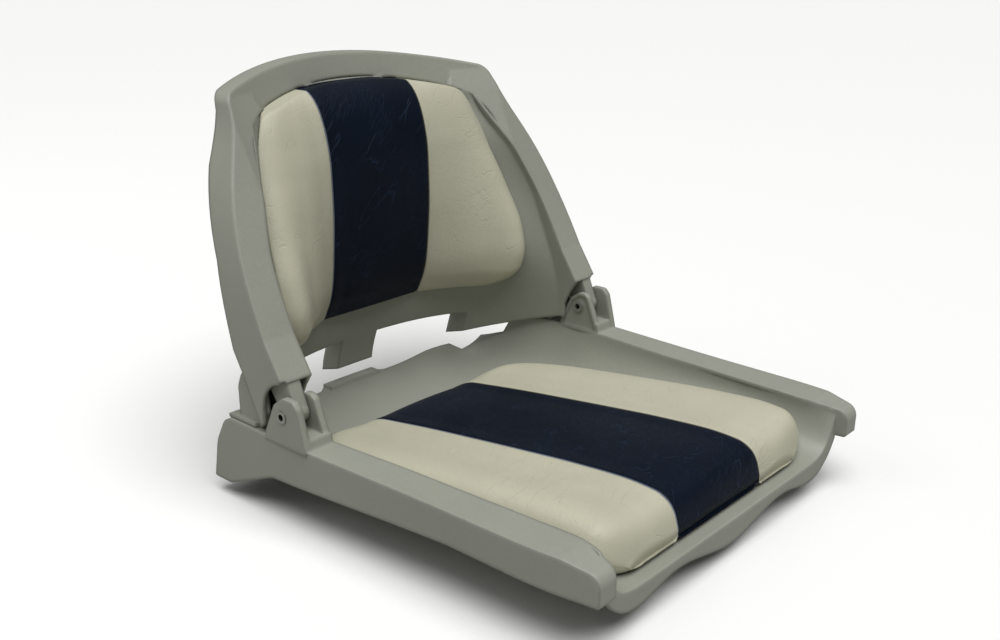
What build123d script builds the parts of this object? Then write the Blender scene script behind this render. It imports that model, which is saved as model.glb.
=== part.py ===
from build123d import *

import os

os.makedirs("parts", exist_ok=True)

# Folding boat seat. Millimetres. X runs across the seat, the front faces -Y and Z is up.
# The origin is the middle of the pedestal's four bolts, on the face that lies on the pedestal.

# Overall sizes
seat_width = 508
seat_depth = 565
front_reach = 302
rail_height = 92
back_height = 434
back_reach = 280
wall = 4
overrun = 20

# Hinge
pin_back = 68.7
pin_height = 120.1
pin_radius = 4.7
pin_bore_radius = 3.5
pin_head_radius = 6.6
pin_head = 1.4
running_clearance = 0.05
press_clearance = 0.01
ear_thickness = 8
ear_gap = 20
tongue_radius = 10.6
tongue_side_gap = 2
swing_radius = 31.5
swing_clearance = 2
fold_degrees = 118
ear_panel_rim = 4
ear_panel_depth = 1.5

# Back
crest_width = 37
rim_height = 27
rim_depth = 24
top_wrap = 93.8
lean_share = 0.34
lean_foot = 118.3
crest_lean_share = 0.52
crest_lean_foot = 45
shoulder_round = 16
heel_inset = 6
foot_thickness = 5
foot_round = 2.2
slot_height = 96
slot_inner = 28
slot_outer = 156
return_depth = 26
return_droop_share = 0.32

# Seat pan, lip and pedestal pad
lip_back = 12
raised_rim = 4
raised_band = 15
raised_middle_share = 0.157
bolt_spacing = 127
plateau_margin = 19
plateau_skin = 5
boss_radius = 10
insert_radius = 5
insert_bore_radius = 3.2
insert_length = 16

# Cushions
skin = 1.3
seam_out = 75
seat_gap = 0.3
seam_dip = 2
seat_pad_length = 421
seat_pad_half = 188
seat_pad_height = 48
seat_pad_tuck = 14
seat_pad_front_y = -275
seat_pad_front_z = 42.9
seat_slope_share = 0.045
seat_board_thickness = 8
seat_board_half = 145
seat_board_front = 14
seat_board_rear = 375
back_board_thickness = 6
back_board_half = 70
back_board_length = 205
back_board_y = 216.5
back_board_z = 178
back_board_lean_share = 0.118
back_pad_bulge = 11
hem = 24
board_round = 12
screw_radius = 3
screw_clearance = 0.4
screw_head_radius = 6
screw_head = 3
washer_radius = 9
washer_thickness = 1.2
tee_flange_radius = 9.5
tee_flange = 1.2
tee_barrel_radius = 4.2
stand_off_radius = 9.5
seat_screw_out = 95
seat_screw_front = 85
seat_screw_rear = 325
seat_boss_drop = 11
back_screw_out = 45
back_screw_low = 28
back_screw_high = 172
back_boss_drop = 19
staple_width = 10
staple_wire = 0.8
staple_leg = 5
staple_pitch = 40

half = seat_width / 2
ear_outer = half
ear_slot_outer = ear_outer - ear_thickness
ear_slot_inner = ear_slot_outer - ear_gap
ear_inner = ear_slot_inner - ear_thickness


# Points from shares

def seat_point(shares):
    """A side-view point of the seat, from shares of its depth and its rail height."""
    along, up = shares
    return (along * seat_depth - front_reach, up * rail_height)


def back_point(shares):
    """A side-view point of the back, from shares of its reach and its height."""
    along, up = shares
    return (along * back_reach, up * back_height)


def side_slab(points, radius, inner, outer):
    """A side-view outline carried across from one distance out to another."""
    with BuildPart() as slab:
        with BuildSketch(Plane.YZ.offset(inner)):
            with BuildLine():
                if radius:
                    FilletPolyline(*points, radius=radius, close=True)
                else:
                    Polyline(*points, close=True)
            make_face()
        extrude(amount=outer - inner)
    return slab.part


def plan_slab(points, low, high):
    """A plan outline carried up from low to high."""
    with BuildPart() as slab:
        with BuildSketch(Plane.XY.offset(low)):
            with BuildLine():
                Polyline(*points, close=True)
            make_face()
        extrude(amount=high - low)
    return slab.part


def mirrored(points):
    """The points of a right half followed by their mirror images, back to the start."""
    return list(points) + [(-across, other) for across, other in reversed(points) if across]


# Rails, as shares of the seat depth and the rail height
rail_side_shares = (
    (0, 0.93), (0.065, 1), (0.825, 1), (0.855, 0.66), (0.869, 0.185), (0.82, 0.185), (0.6956, 0.511),
    (0.281, 0.641),
    (0, 0.62),
)
rail_side_round_shares = (0.14, 0.3, 0.2, 0.4, 0.02, 0.12, 0.2, 0.2, 0.02)
# Shares of half the width and of the seat depth
rail_outer_shares = (
    (0.921, -0.04), (0.921, 0), (0.943, 0.06), (0.9605, 0.17), (0.966, 0.3115), (0.984, 0.515),
    (0.993, 0.61), (0.996, 0.70), (0.996, 0.9),
)
rail_inner_shares = (
    (0.78, 0.9), (0.80, 0.84), (0.8575, 0.72), (0.855, 0.6), (0.819, 0.375), (0.799, 0.187),
    (0.791, 0.075), (0.82, 0.025), (0.832, 0), (0.832, -0.04),
)

# Pan: place along the depth, then out and up at the rail, wall foot, cushion edge and floor corner,
# and the height of the floor
pan_shares = (
    (lip_back / seat_depth, 0.822, 0.87, 0.800, 0.74, 0.745, 0.52, 0.58, 0.425, 0.424),
    (0.074, 0.791, 0.98, 0.782, 0.77, 0.745, 0.60, 0.58, 0.42, 0.413),
    (0.170, 0.799, 1.00, 0.784, 0.79, 0.750, 0.68, 0.58, 0.40, 0.391),
    (0.3115, 0.813, 1.00, 0.792, 0.78, 0.750, 0.66, 0.58, 0.37, 0.348),
    (0.517, 0.839, 1.00, 0.805, 0.74, 0.745, 0.55, 0.58, 0.32, 0.283),
    (0.605, 0.855, 1.00, 0.815, 0.70, 0.740, 0.46, 0.58, 0.29, 0.250),
    (0.7115, 0.858, 0.99, 0.815, 0.66, 0.725, 0.36, 0.58, 0.25, 0.217),
    (0.80, 0.822, 0.86, 0.790, 0.62, 0.700, 0.34, 0.58, 0.245, 0.228),
    (0.871, 0.800, 0.68, 0.770, 0.56, 0.700, 0.38, 0.58, 0.29, 0.261),
    (0.959, 0.790, 0.52, 0.765, 0.50, 0.700, 0.49, 0.58, 0.475, 0.345),
    (1.02, 0.790, 0.51, 0.765, 0.505, 0.700, 0.50, 0.58, 0.49, 0.330),
)
# Plan of the seat's rear edge, as shares of half the width and the seat depth
rear_edge_shares = ((0, 1), (0.157, 1), (0.205, 0.982), (0.472, 0.968), (0.622, 0.954), (0.65, 0.925),
                    (0.78, 0.918), (0.80, 0.84), (0.86, 0.72))
# Lower edge of the front lip, as shares of half the width and the rail height
lip_shares = ((0.835, 0.58), (0.807, 0.457), (0.689, 0.228), (0.413, 0.304), (0, 0.152))


def pan_line(station, grow):
    """The pan's surface at one station, moved outward and down by grow."""
    along, rail_w, rail_z, foot_w, foot_z, edge_w, edge_z, mid_w, mid_z, floor_z = station
    right = [
        (rail_w * half + grow, rail_z * rail_height),
        (foot_w * half + grow, foot_z * rail_height - grow / 3),
        (edge_w * half + grow * 2 / 3, edge_z * rail_height - grow * 3 / 4),
        (mid_w * half, mid_z * rail_height - grow),
    ]
    left = [(-w, z) for w, z in reversed(right)]
    floor = floor_z * rail_height - grow
    inner = 0.55 * mid_w * half
    rise = 0.15 * (right[-1][1] - floor)
    return right + [(inner, floor + rise), (0, floor), (-inner, floor + rise)] + left


def pan_block(grow):
    """The space over the pan, up to above the rails, with its surface moved outward by grow."""
    with BuildPart() as block:
        for station in pan_shares:
            points = pan_line(station, grow)
            top = 2 * rail_height
            with BuildSketch(Plane.XZ.offset(front_reach - station[0] * seat_depth)):
                with BuildLine():
                    Spline(*points)
                    Polyline(points[-1], (points[-1][0], top), (points[0][0], top), points[0])
                make_face()
        loft()
    return block.part


# Stretch of the rail whose hollow is open inward, under the pan
open_from_share = 0.03
open_to_share = 0.7


def rail_plan(inset, low, high):
    """The plan of the right rail from low to high. An inset gives its hollow, open inward under the pan."""
    with BuildPart() as plan:
        with BuildSketch(Plane.XY.offset(low)):
            with BuildLine():
                outer = [(w * half - inset, y * seat_depth - front_reach) for w, y in rail_outer_shares]
                inner = []
                for w, y in rail_inner_shares:
                    opened = open_from_share < y < open_to_share
                    inner.append((w * half + inset - opened * 9 * inset, y * seat_depth - front_reach))
                Spline(*outer)
                Polyline(outer[-1], *inner, outer[0])
            make_face()
        extrude(amount=high - low)
    return plan.part


def drum(radius, inner, outer, back=pin_back, height=pin_height):
    """A round bar along X."""
    with BuildPart() as bar:
        with BuildSketch(Plane.YZ.offset(inner)):
            with Locations((back, height)):
                Circle(radius)
        extrude(amount=outer - inner)
    return bar.part


# Seat shell: a thin pan between two hollow rails
rail_side = [seat_point(shares) for shares in rail_side_shares]
rail_rounds = [share * rail_height for share in rail_side_round_shares]
with BuildPart() as rail:
    with BuildSketch(Plane.YZ):
        with BuildLine():
            FilletPolyline(*rail_side, radius=rail_rounds, close=True)
        make_face()
    extrude(amount=half + overrun)
    add(rail_plan(0, -overrun, rail_height + overrun), mode=Mode.INTERSECT)

with BuildPart() as rail_core:
    with BuildSketch(Plane.YZ) as core_side:
        with BuildLine():
            FilletPolyline(*rail_side, radius=rail_rounds, close=True)
        make_face()
        offset(amount=-wall, mode=Mode.REPLACE)
    with BuildSketch(Plane.YZ):
        add(core_side.sketch_local)
        with Locations((0, -2 * wall)):
            add(core_side.sketch_local)
    extrude(amount=half + overrun)
    add(rail_plan(wall, -overrun, rail_height + overrun), mode=Mode.INTERSECT)

# Trim lines of the pan: under the rail tops, and down to the seat's rear edge
pan_top_shares = (
    (-0.01, 0.7), (0, 0.804), (0.036, 0.98), (0.08, 1), (0.7487, 1), (1, 0.398), (1.03, 0.326), (1.03, -0.2),
    (-0.01, -0.2),
)
pan_under = side_slab([seat_point(pair) for pair in pan_top_shares], 0, -half, half)
rear_edge = [(w * half, y * seat_depth - front_reach) for w, y in rear_edge_shares]
side_edge = [(0.9 * half, rear_edge[-1][1]), (0.9 * half, -front_reach - overrun),
             (0, -front_reach - overrun)]
pan_plan = plan_slab(mirrored(rear_edge + side_edge), -overrun, 2 * rail_height)
pan_space = pan_block(0)
pan_outside = pan_block(wall)

# Raised rim in the middle of the seat's rear edge
rim_out = raised_middle_share * half
rim_rear = seat_depth - front_reach
rim_band = [(-rim_out, rim_rear), (rim_out, rim_rear), (rim_out, rim_rear - raised_band),
            (-rim_out, rim_rear - raised_band)]
with BuildPart() as raised:
    add(plan_slab(rim_band, 0, rail_height))
    add(pan_space, mode=Mode.INTERSECT)
    add(pan_space.moved(Location((0, 0, raised_rim))), mode=Mode.SUBTRACT)

# Front lip, with its waved lower edge
with BuildPart() as lip:
    with BuildSketch(Plane.XZ.offset(front_reach - lip_back)):
        top_line = pan_line(pan_shares[0], 0)
        low_line = mirrored([(w * half, z * rail_height) for w, z in lip_shares])
        with BuildLine():
            Spline(*top_line)
            Spline(*low_line)
            Line(top_line[0], low_line[0])
            Line(top_line[-1], low_line[-1])
        make_face()
    extrude(amount=-wall)

# Ears, as shares of the pin's height over the rail
ear_rise = pin_height - rail_height
outer_ear_shares = (
    (-1.2, -1.1), (-1.16, -0.89), (-0.81, 0.46), (-0.60, 0.70), (0.0, 0.70), (0.42, 0.35), (0.88, -0.64),
    (1.05, -1.1),
)
inner_ear_shares = (
    (-1.17, -1.1), (-1.13, -1.0), (-0.52, 0.50), (-0.35, 0.63), (0.0, 0.63), (0.42, 0.33), (0.88, -0.64),
    (1.05, -1.1),
)
ear_foot_shares = ((-1.2, -1.1), (-1.08, -0.64), (0.88, -0.64), (1.05, -1.1))
ear_round_shares = (0, 0.2, 0.2, 0.2, 0.3, 0.3, 0.15, 0)


def ear_line(shares):
    """Side-view points of an ear around the pin."""
    return [(pin_back + y * ear_rise, pin_height + z * ear_rise) for y, z in shares]


ear_rounds = [share * ear_rise for share in ear_round_shares]
with BuildPart() as ears:
    add(side_slab(ear_line(outer_ear_shares), ear_rounds, ear_slot_outer, ear_outer))
    add(side_slab(ear_line(inner_ear_shares), ear_rounds, ear_inner, ear_slot_inner))
    add(side_slab(ear_line(ear_foot_shares), 0, ear_inner, ear_outer))
with BuildPart() as ear_recess:
    with BuildSketch(Plane.YZ.offset(ear_inner - overrun)):
        with BuildLine():
            FilletPolyline(*ear_line(inner_ear_shares), radius=ear_rounds, close=True)
        make_face()
        offset(amount=-ear_panel_rim, mode=Mode.REPLACE)
        with Locations((pin_back, pin_height)):
            Circle(pin_head_radius + pin_head, mode=Mode.SUBTRACT)
    extrude(amount=overrun + ear_panel_depth)

# Pedestal pad under the pan: a square rim, ribs and four bosses
bolt_spots = [(x, y) for x in (-bolt_spacing / 2, bolt_spacing / 2)
              for y in (-bolt_spacing / 2, bolt_spacing / 2)]
pad_side = bolt_spacing + 2 * plateau_margin
with BuildPart() as pedestal_pad:
    with BuildSketch():
        RectangleRounded(pad_side, pad_side, plateau_margin)
        RectangleRounded(pad_side - 2 * plateau_skin, pad_side - 2 * plateau_skin,
                         plateau_margin - plateau_skin, mode=Mode.SUBTRACT)
        with Locations(*bolt_spots):
            Circle(boss_radius)
    with BuildSketch():
        for place in (-bolt_spacing / 2, 0, bolt_spacing / 2):
            with Locations((place, 0)):
                Rectangle(wall, pad_side - plateau_skin)
            with Locations((0, place)):
                Rectangle(pad_side - plateau_skin, wall)
    extrude(amount=rail_height / 2)
    add(pan_block(wall / 2), mode=Mode.SUBTRACT)
    with Locations(*[(x, y, insert_length / 2) for x, y in bolt_spots]):
        Cylinder(insert_radius, insert_length, mode=Mode.SUBTRACT)


# Planes of the two cushion boards, each with Z toward the sitter
seat_plane = Plane(origin=(0, seat_pad_front_y, seat_pad_front_z), x_dir=(1, 0, 0),
                   z_dir=(0, seat_slope_share, 1))
back_plane = Plane(origin=(0, back_board_y, back_board_z), x_dir=(1, 0, 0),
                   z_dir=(0, -1, back_board_lean_share))
seat_spots = [(x, y) for x in (-seat_screw_out, seat_screw_out) for y in (seat_screw_front, seat_screw_rear)]
back_spots = [(x, y) for x in (-back_screw_out, back_screw_out) for y in (back_screw_low, back_screw_high)]


def rods(plane, spots, radius, low, high, hole=0):
    """Round rods or tubes that stand on a board's plane."""
    with BuildPart() as group:
        with BuildSketch(plane.offset(low)):
            with Locations(*spots):
                Circle(radius)
                if hole:
                    Circle(hole, mode=Mode.SUBTRACT)
        extrude(amount=high - low)
    return group.part


def screws(plane, spots, drop, rise):
    """Cushion screws with their heads behind the shell."""
    seat = -drop - washer_thickness
    with BuildPart() as group:
        add(rods(plane, spots, screw_radius, seat, rise))
        with BuildSketch(plane.offset(seat - screw_head)):
            with Locations(*spots):
                Circle(screw_head_radius)
                RegularPolygon(screw_radius, 6, mode=Mode.SUBTRACT)
        extrude(amount=screw_head / 2)
        add(rods(plane, spots, screw_head_radius, seat - screw_head / 2, seat))
    return group.part


def tee_nuts(plane, spots, low, rise):
    """Tee nuts: a barrel in the board under a flat flange."""
    bore = screw_radius + press_clearance
    with BuildPart() as group:
        add(rods(plane, spots, tee_barrel_radius, low + tee_flange, rise, bore))
        add(rods(plane, spots, tee_flange_radius, rise, rise + tee_flange, bore))
    return group.part


# Seat shell
with BuildPart() as rails:
    for place in (rail.part, mirror(rail.part, about=Plane.YZ)):
        add(place)
    for place in (rail_core.part, mirror(rail_core.part, about=Plane.YZ)):
        add(place, mode=Mode.SUBTRACT)
with BuildPart() as pan:
    add(pan_outside)
    add(pan_space, mode=Mode.SUBTRACT)
    add(raised.part)
    add(pan_under, mode=Mode.INTERSECT)
    add(pan_plan, mode=Mode.INTERSECT)
with BuildPart() as seat_bosses:
    add(rods(seat_plane, seat_spots, stand_off_radius, -seat_boss_drop, skin))

with BuildPart() as seat_shell:
    add(rails.part)
    add(pan.part)
    add(lip.part)
    for place in (ears.part, mirror(ears.part, about=Plane.YZ)):
        add(place)
    add(pedestal_pad.part)
    add(seat_bosses.part)
    add(rods(seat_plane, seat_spots, screw_radius + screw_clearance, -seat_boss_drop, skin),
        mode=Mode.SUBTRACT)
    for place in (ear_recess.part, mirror(ear_recess.part, about=Plane.YZ)):
        add(place, mode=Mode.SUBTRACT)
    add(drum(pin_radius + press_clearance, -half - overrun, half + overrun), mode=Mode.SUBTRACT)
seat_shell.part.label = "seat_shell"
export_step(seat_shell.part, "parts/seat_shell.step")

# Back shell. Front view of its rim, as shares of half the width and the back height
outline_shares = ((0.992, 0.30), (0.992, 0.355), (0.968, 0.592), (0.89, 0.7535), (0.80, 0.8687),
                  (0.764, 0.945))
# Side view of the wings, as shares of the back's reach and height: front edge going up, then rear edge
# going down
wing_front_shares = ((0.25, 0.3525), (0.339, 0.440), (0.475, 0.608), (0.643, 0.827), (0.696, 0.899),
                     (0.75, 1.01))
wing_rear_shares = ((0.80, 1.01), (0.80, 0.910), (0.754, 0.788), (0.607, 0.592), (0.514, 0.392),
                    (0.471, 0.346), (0.379, 0.230), (0.361, 0.233))
# Side view of the inner wall's front and low edges
low_front_shares = ((0.314, 0.235), (0.314, 0.2765), (0.282, 0.320))
low_rear_shares = ((1.07, 1.02), (1.07, 0.097), (0.336, 0.235))
# Hollow for the cushion at several heights: height, side out and back, shoulder out and back, and middle back
hollow_shares = (
    (0.05, 0.840, 0.343, 0.650, 0.775, 0.925),
    (0.131, 0.840, 0.346, 0.642, 0.746, 0.889),
    (0.235, 0.840, 0.350, 0.630, 0.707, 0.843),
    (0.320, 0.840, 0.354, 0.618, 0.671, 0.811),
    (0.415, 0.840, 0.396, 0.591, 0.649, 0.821),
    (0.592, 0.822, 0.500, 0.575, 0.702, 0.850),
    (0.7465, 0.744, 0.623, 0.524, 0.766, 0.879),
    (0.880, 0.650, 0.736, 0.461, 0.834, 0.914),
    (1.02, 0.615, 0.817, 0.433, 0.899, 0.968),
)


def hollow_block(grow):
    """The space in front of the back's hollow, with its surface moved outward by grow."""
    with BuildPart() as block:
        for up, side_w, side_y, turn_w, turn_y, middle_y in hollow_shares:
            side = (side_w * half + grow, side_y * back_reach)
            turn = (turn_w * half + 0.7 * grow, turn_y * back_reach + 0.7 * grow)
            middle = (0, middle_y * back_reach + grow)
            with BuildSketch(Plane.XY.offset(up * back_height)):
                with BuildLine():
                    Spline(side, turn, middle, (-turn[0], turn[1]), (-side[0], side[1]))
                    Polyline((-side[0], side[1]), (-side[0], 0), (side[0], 0), side)
                make_face()
        loft()
    return block.part


def outline_slab(side_inset, top_inset):
    """The rim's front view, moved inward and carried through from front to rear."""
    right = [(w * half - side_inset, z * back_height) for w, z in outline_shares]
    right[-1] = (right[-1][0], right[-1][1] - top_inset)
    left = [(-w, z) for w, z in right]
    with BuildPart() as slab:
        with BuildSketch(Plane.XZ) as front_view:
            with BuildLine():
                Spline(*right)
                Spline(*left)
                ThreePointArc(right[-1], (0, back_height - top_inset), left[-1])
                Polyline(right[0], (right[0][0], 0), (left[0][0], 0), left[0])
            make_face()
            shoulders = front_view.vertices().filter_by(
                lambda corner: abs(corner.Y - right[-1][1]) < press_clearance)
            fillet(shoulders, shoulder_round)
        extrude(amount=2 * back_reach, both=True)
    return slab.part


def lean_band(front, rear, foot=lean_foot, lean=lean_share):
    """A layer that leans and wraps like the top of the back, from front to rear of its surface."""
    side = half + overrun
    drop = top_wrap * (side / half) ** 2
    with BuildPart() as band:
        with BuildSketch():
            with BuildLine():
                ThreePointArc((-side, foot - drop + front), (0, foot + front), (side, foot - drop + front))
                Line((side, foot - drop + front), (side, foot - drop + rear))
                ThreePointArc((side, foot - drop + rear), (0, foot + rear), (-side, foot - drop + rear))
                Line((-side, foot - drop + rear), (-side, foot - drop + front))
            make_face()
        extrude(amount=1.2 * back_height, dir=(0, lean, 1))
    return band.part


wing_front = [back_point(pair) for pair in wing_front_shares]
wing_rear = [back_point(pair) for pair in wing_rear_shares]
top_start = 0.87 * back_height
rim_zone = plan_slab(
    [(-half, -back_reach), (half, -back_reach), (half, 2 * back_reach), (-half, 2 * back_reach)],
    top_start, 2 * back_height)
hollow = hollow_block(0)
hollow_outside = hollow_block(wall)
crest_front = lean_band(-2 * back_reach, 0, crest_lean_foot, crest_lean_share)
with BuildPart() as wings:
    add(side_slab(wing_front + wing_rear, 0, -half - overrun, half + overrun))
    add(crest_front, mode=Mode.SUBTRACT)
with BuildPart() as top_band:
    add(lean_band(0, rim_depth))
    add(rim_zone, mode=Mode.INTERSECT)
with BuildPart() as rim:
    add(wings.part)
    add(top_band.part)
    add(outline_slab(0, 0), mode=Mode.INTERSECT)
    add(outline_slab(crest_width, rim_height), mode=Mode.SUBTRACT)

# The hollow's own sheet, with the flanges round the two cut-outs under the cushion
with BuildPart() as frames:
    for side in (-1, 1):
        for inset, mode in ((wall, Mode.ADD), (0, Mode.SUBTRACT)):
            with BuildSketch(Plane.XZ):
                left = side * (slot_inner - inset)
                right = side * (slot_outer + inset)
                with BuildLine():
                    Polyline((left, 0), (right, 0), (right, slot_height + inset),
                             (left, slot_height + inset), close=True)
                make_face()
            extrude(amount=2 * back_reach, both=True, mode=mode)
with BuildPart() as flanges:
    add(hollow_outside.moved(Location((0, return_depth, -return_droop_share * return_depth))))
    add(frames.part, mode=Mode.INTERSECT)
with BuildPart() as sheet:
    add(hollow_outside)
    for side in (-1, 1):
        left, right = side * slot_inner, side * slot_outer
        add(plan_slab([(left, 0.5 * back_reach), (right, 0.5 * back_reach), (right, 2 * back_reach),
                       (left, 2 * back_reach)], -overrun, slot_height), mode=Mode.SUBTRACT)
    add(flanges.part)
    add(hollow, mode=Mode.SUBTRACT)
    low_side = [back_point(pair) for pair in low_rear_shares + low_front_shares + wing_front_shares]
    add(side_slab(low_side, 0, -half, half), mode=Mode.INTERSECT)
    add(outline_slab(heel_inset, 0), mode=Mode.INTERSECT)
    add(crest_front, mode=Mode.SUBTRACT)

# Space behind the sheet, inside the rim
with BuildPart() as top_front:
    add(lean_band(-2 * back_reach, wall))
    add(rim_zone, mode=Mode.INTERSECT)
core_front = [(y + wall, z) for y, z in wing_front]
core_rear = [(3 * back_reach, 1.01 * back_height), (3 * back_reach, 0), (wing_rear[-1][0] - overrun, 0)]
with BuildPart() as rim_core:
    add(side_slab(core_front + core_rear, 0, -half - overrun, half + overrun))
    add(outline_slab(wall, wall), mode=Mode.INTERSECT)
    add(hollow_outside, mode=Mode.SUBTRACT)
    add(top_front.part, mode=Mode.SUBTRACT)
    add(lean_band(-2 * back_reach, wall, crest_lean_foot, crest_lean_share), mode=Mode.SUBTRACT)

# Hinge tongue and heel on each side
tongue_shares = ((0.207, 0.277), (0.262, 0.362), (0.357, 0.426), (0.411, 0.380), (0.282, 0.262))
with BuildPart() as tongue:
    add(drum(tongue_radius, ear_slot_inner + tongue_side_gap, ear_slot_outer - tongue_side_gap))
    tongue_line = [back_point(pair) for pair in tongue_shares]
    add(side_slab(tongue_line, 0, ear_slot_inner + tongue_side_gap, ear_slot_outer - tongue_side_gap))
heel_top_shares = ((0.36, 0.26), (0.375, 0.36), (0.504, 0.336), (0.529, 0.297))
heel_line = [back_point(pair) for pair in heel_top_shares]
heel_line += [(0.525 * back_reach, rail_height), (0.40 * back_reach, rail_height)]
heel_rounds = [share * heel_inset for share in (0, 0, 2, 2, 0, 0)]
with BuildPart() as heel:
    add(side_slab(heel_line, heel_rounds, ear_inner + press_clearance, ear_slot_outer))
    with BuildSketch(Plane.YZ.offset(ear_inner + wall)) as heel_core:
        with BuildLine():
            Polyline(*heel_line, close=True)
        make_face()
        offset(amount=-wall, mode=Mode.REPLACE)
        with Locations((-2 * wall, 2 * wall)):
            add(heel_core.sketch_local)
    extrude(amount=ear_slot_outer - ear_inner - 2 * wall, mode=Mode.SUBTRACT)
    foot_line = [(0.42 * back_reach, rail_height), (0.575 * back_reach, rail_height),
                 (0.575 * back_reach, rail_height + foot_thickness),
                 (0.42 * back_reach, rail_height + foot_thickness)]
    foot_rounds = [0, foot_round, foot_round, 0]
    add(side_slab(foot_line, foot_rounds, ear_inner + wall, ear_slot_outer + wall))

# Room for the outer ears when the back lies folded forward
hinge_axis = Axis((0, pin_back, pin_height), (1, 0, 0))
with BuildPart() as folded_ear:
    with BuildSketch(Plane.YZ.offset(ear_slot_outer - seat_gap)):
        with BuildLine():
            FilletPolyline(*ear_line(outer_ear_shares), radius=ear_rounds, close=True)
        make_face()
        offset(amount=swing_clearance)
    extrude(amount=overrun)
folded_room = folded_ear.part.rotate(hinge_axis, -fold_degrees)

# Room for the ears' broad feet
base_room = [(pin_back - 2 * ear_rise, 0), (pin_back + 1.15 * ear_rise, 0),
             (pin_back + 1.15 * ear_rise, pin_height), (pin_back - 2 * ear_rise, pin_height)]
back_bosses = rods(back_plane, back_spots, stand_off_radius, -back_boss_drop, 0)
with BuildPart() as back_shell:
    add(rim.part)
    add(rim_core.part, mode=Mode.SUBTRACT)
    add(sheet.part)
    for place in (1, -1):
        add(drum(swing_radius, place * ear_inner, place * (half + overrun)), mode=Mode.SUBTRACT)
        add(side_slab(base_room, 0, place * (ear_inner - seat_gap), place * (half + overrun)),
            mode=Mode.SUBTRACT)
    add(folded_room, mode=Mode.SUBTRACT)
    add(mirror(folded_room, about=Plane.YZ), mode=Mode.SUBTRACT)
    for piece in (tongue.part, heel.part):
        add(piece)
        add(mirror(piece, about=Plane.YZ))
    add(back_bosses)
    add(rods(back_plane, back_spots, screw_radius + screw_clearance, -back_boss_drop, 0), mode=Mode.SUBTRACT)
    add(drum(pin_radius + running_clearance, -half - overrun, half + overrun), mode=Mode.SUBTRACT)
back_shell.part.label = "back_shell"
export_step(back_shell.part, "parts/back_shell.step")

# Seat cushion: shares of its length, then of its half width and of its height, along the board's plane
seat_pad_shares = (
    (0, 0.80, 0.23), (0.0095, 0.883, 0.56), (0.026, 0.947, 0.78), (0.062, 0.99, 0.93), (0.145, 1, 0.985),
    (0.279, 1, 0.945), (0.443, 0.995, 0.845), (0.579, 0.99, 0.75), (0.743, 0.979, 0.627),
    (0.869, 0.947, 0.51), (0.938, 0.878, 0.435), (0.979, 0.80, 0.283), (1, 0.70, 0.125),
)


def seat_pad(inset):
    """The seat cushion moved inward by inset: crowned panels that dip at the seams, with drawn-in sides."""
    with BuildPart() as form:
        for along, out, up in seat_pad_shares:
            place = inset + along * (seat_pad_length - 2 * inset)
            side = out * seat_pad_half - inset
            top = up * seat_pad_height - inset
            with BuildSketch(seat_plane * Plane(origin=(0, place, 0), x_dir=(1, 0, 0), z_dir=(0, -1, 0))):
                tuck = (side - seat_pad_tuck, inset)
                edge = (side, inset + 0.6 * (top - inset))
                round_off = (side - seat_pad_tuck / 2, inset + 0.93 * (top - inset))
                lobe = (0.62 * side, top + seam_dip / 2)
                seam = (seam_out, top - seam_dip / 2)
                with BuildLine():
                    Spline(tuck, edge, round_off, lobe, seam)
                    ThreePointArc(seam, (0, top + seam_dip), (-seam[0], seam[1]))
                    Spline(*[(-w, z) for w, z in (seam, lobe, round_off, edge, tuck)])
                    Line((-tuck[0], tuck[1]), tuck)
                make_face()
        loft()
    with BuildPart() as pad_form:
        add(form.part)
        add(pan_block(-seat_gap - inset), mode=Mode.INTERSECT)
    return pad_form.part


# Back cushion at several heights: height, side out and back, seam back and the side panels' bulge,
# all as shares
back_pad_shares = (
    (0.320, 0.630, 0.643, 0.771, 0.2), (0.332, 0.677, 0.579, 0.757, 0.5), (0.355, 0.724, 0.521, 0.741, 0.8),
    (0.408, 0.748, 0.471, 0.707, 1), (0.5, 0.756, 0.504, 0.689, 1), (0.62, 0.732, 0.586, 0.679, 1),
    (0.6935, 0.705, 0.636, 0.682, 1), (0.7465, 0.685, 0.675, 0.686, 1), (0.809, 0.657, 0.711, 0.7035, 0.9),
    (0.866, 0.614, 0.739, 0.734, 0.7), (0.903, 0.559, 0.768, 0.771, 0.5), (0.924, 0.492, 0.807, 0.814, 0.3),
    (0.9366, 0.394, 0.846, 0.868, 0.1),
)
back_pad_low = back_pad_shares[0][0] * back_height
back_pad_high = back_pad_shares[-1][0] * back_height


def back_pad(inset):
    """The back cushion moved inward by inset: a wrapped form whose panels dip at the seams."""
    with BuildPart() as form:
        for up, out, edge_y, seam_y, swell in back_pad_shares:
            span = back_pad_high - back_pad_low
            level = back_pad_low + inset + (up * back_height - back_pad_low) * (span - 2 * inset) / span
            side = out * half - inset
            edge = (side, edge_y * back_reach + inset)
            seam = (seam_out, seam_y * back_reach + inset)
            bulge = swell * back_pad_bulge
            shoulder = (side - 0.1 * (side - seam_out), edge[1] - 0.8 * bulge)
            lobe = ((side + seam_out) / 2, (edge[1] + seam[1]) / 2 - bulge)
            with BuildSketch(Plane.XY.offset(level)):
                with BuildLine():
                    Spline(edge, shoulder, lobe, seam)
                    ThreePointArc(seam, (0, seam[1] - seam_dip), (-seam[0], seam[1]))
                    Spline(*[(-w, y) for w, y in (seam, lobe, shoulder, edge)])
                    Polyline((-edge[0], edge[1]), (-edge[0], 2 * back_reach), (edge[0], 2 * back_reach), edge)
                make_face()
        loft()
    with BuildPart() as pad_form:
        add(form.part)
        add(hollow_block(-seat_gap - inset), mode=Mode.INTERSECT)
        add(outline_slab(crest_width + seat_gap + inset, rim_height + seat_gap + inset), mode=Mode.INTERSECT)
    return pad_form.part


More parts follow.
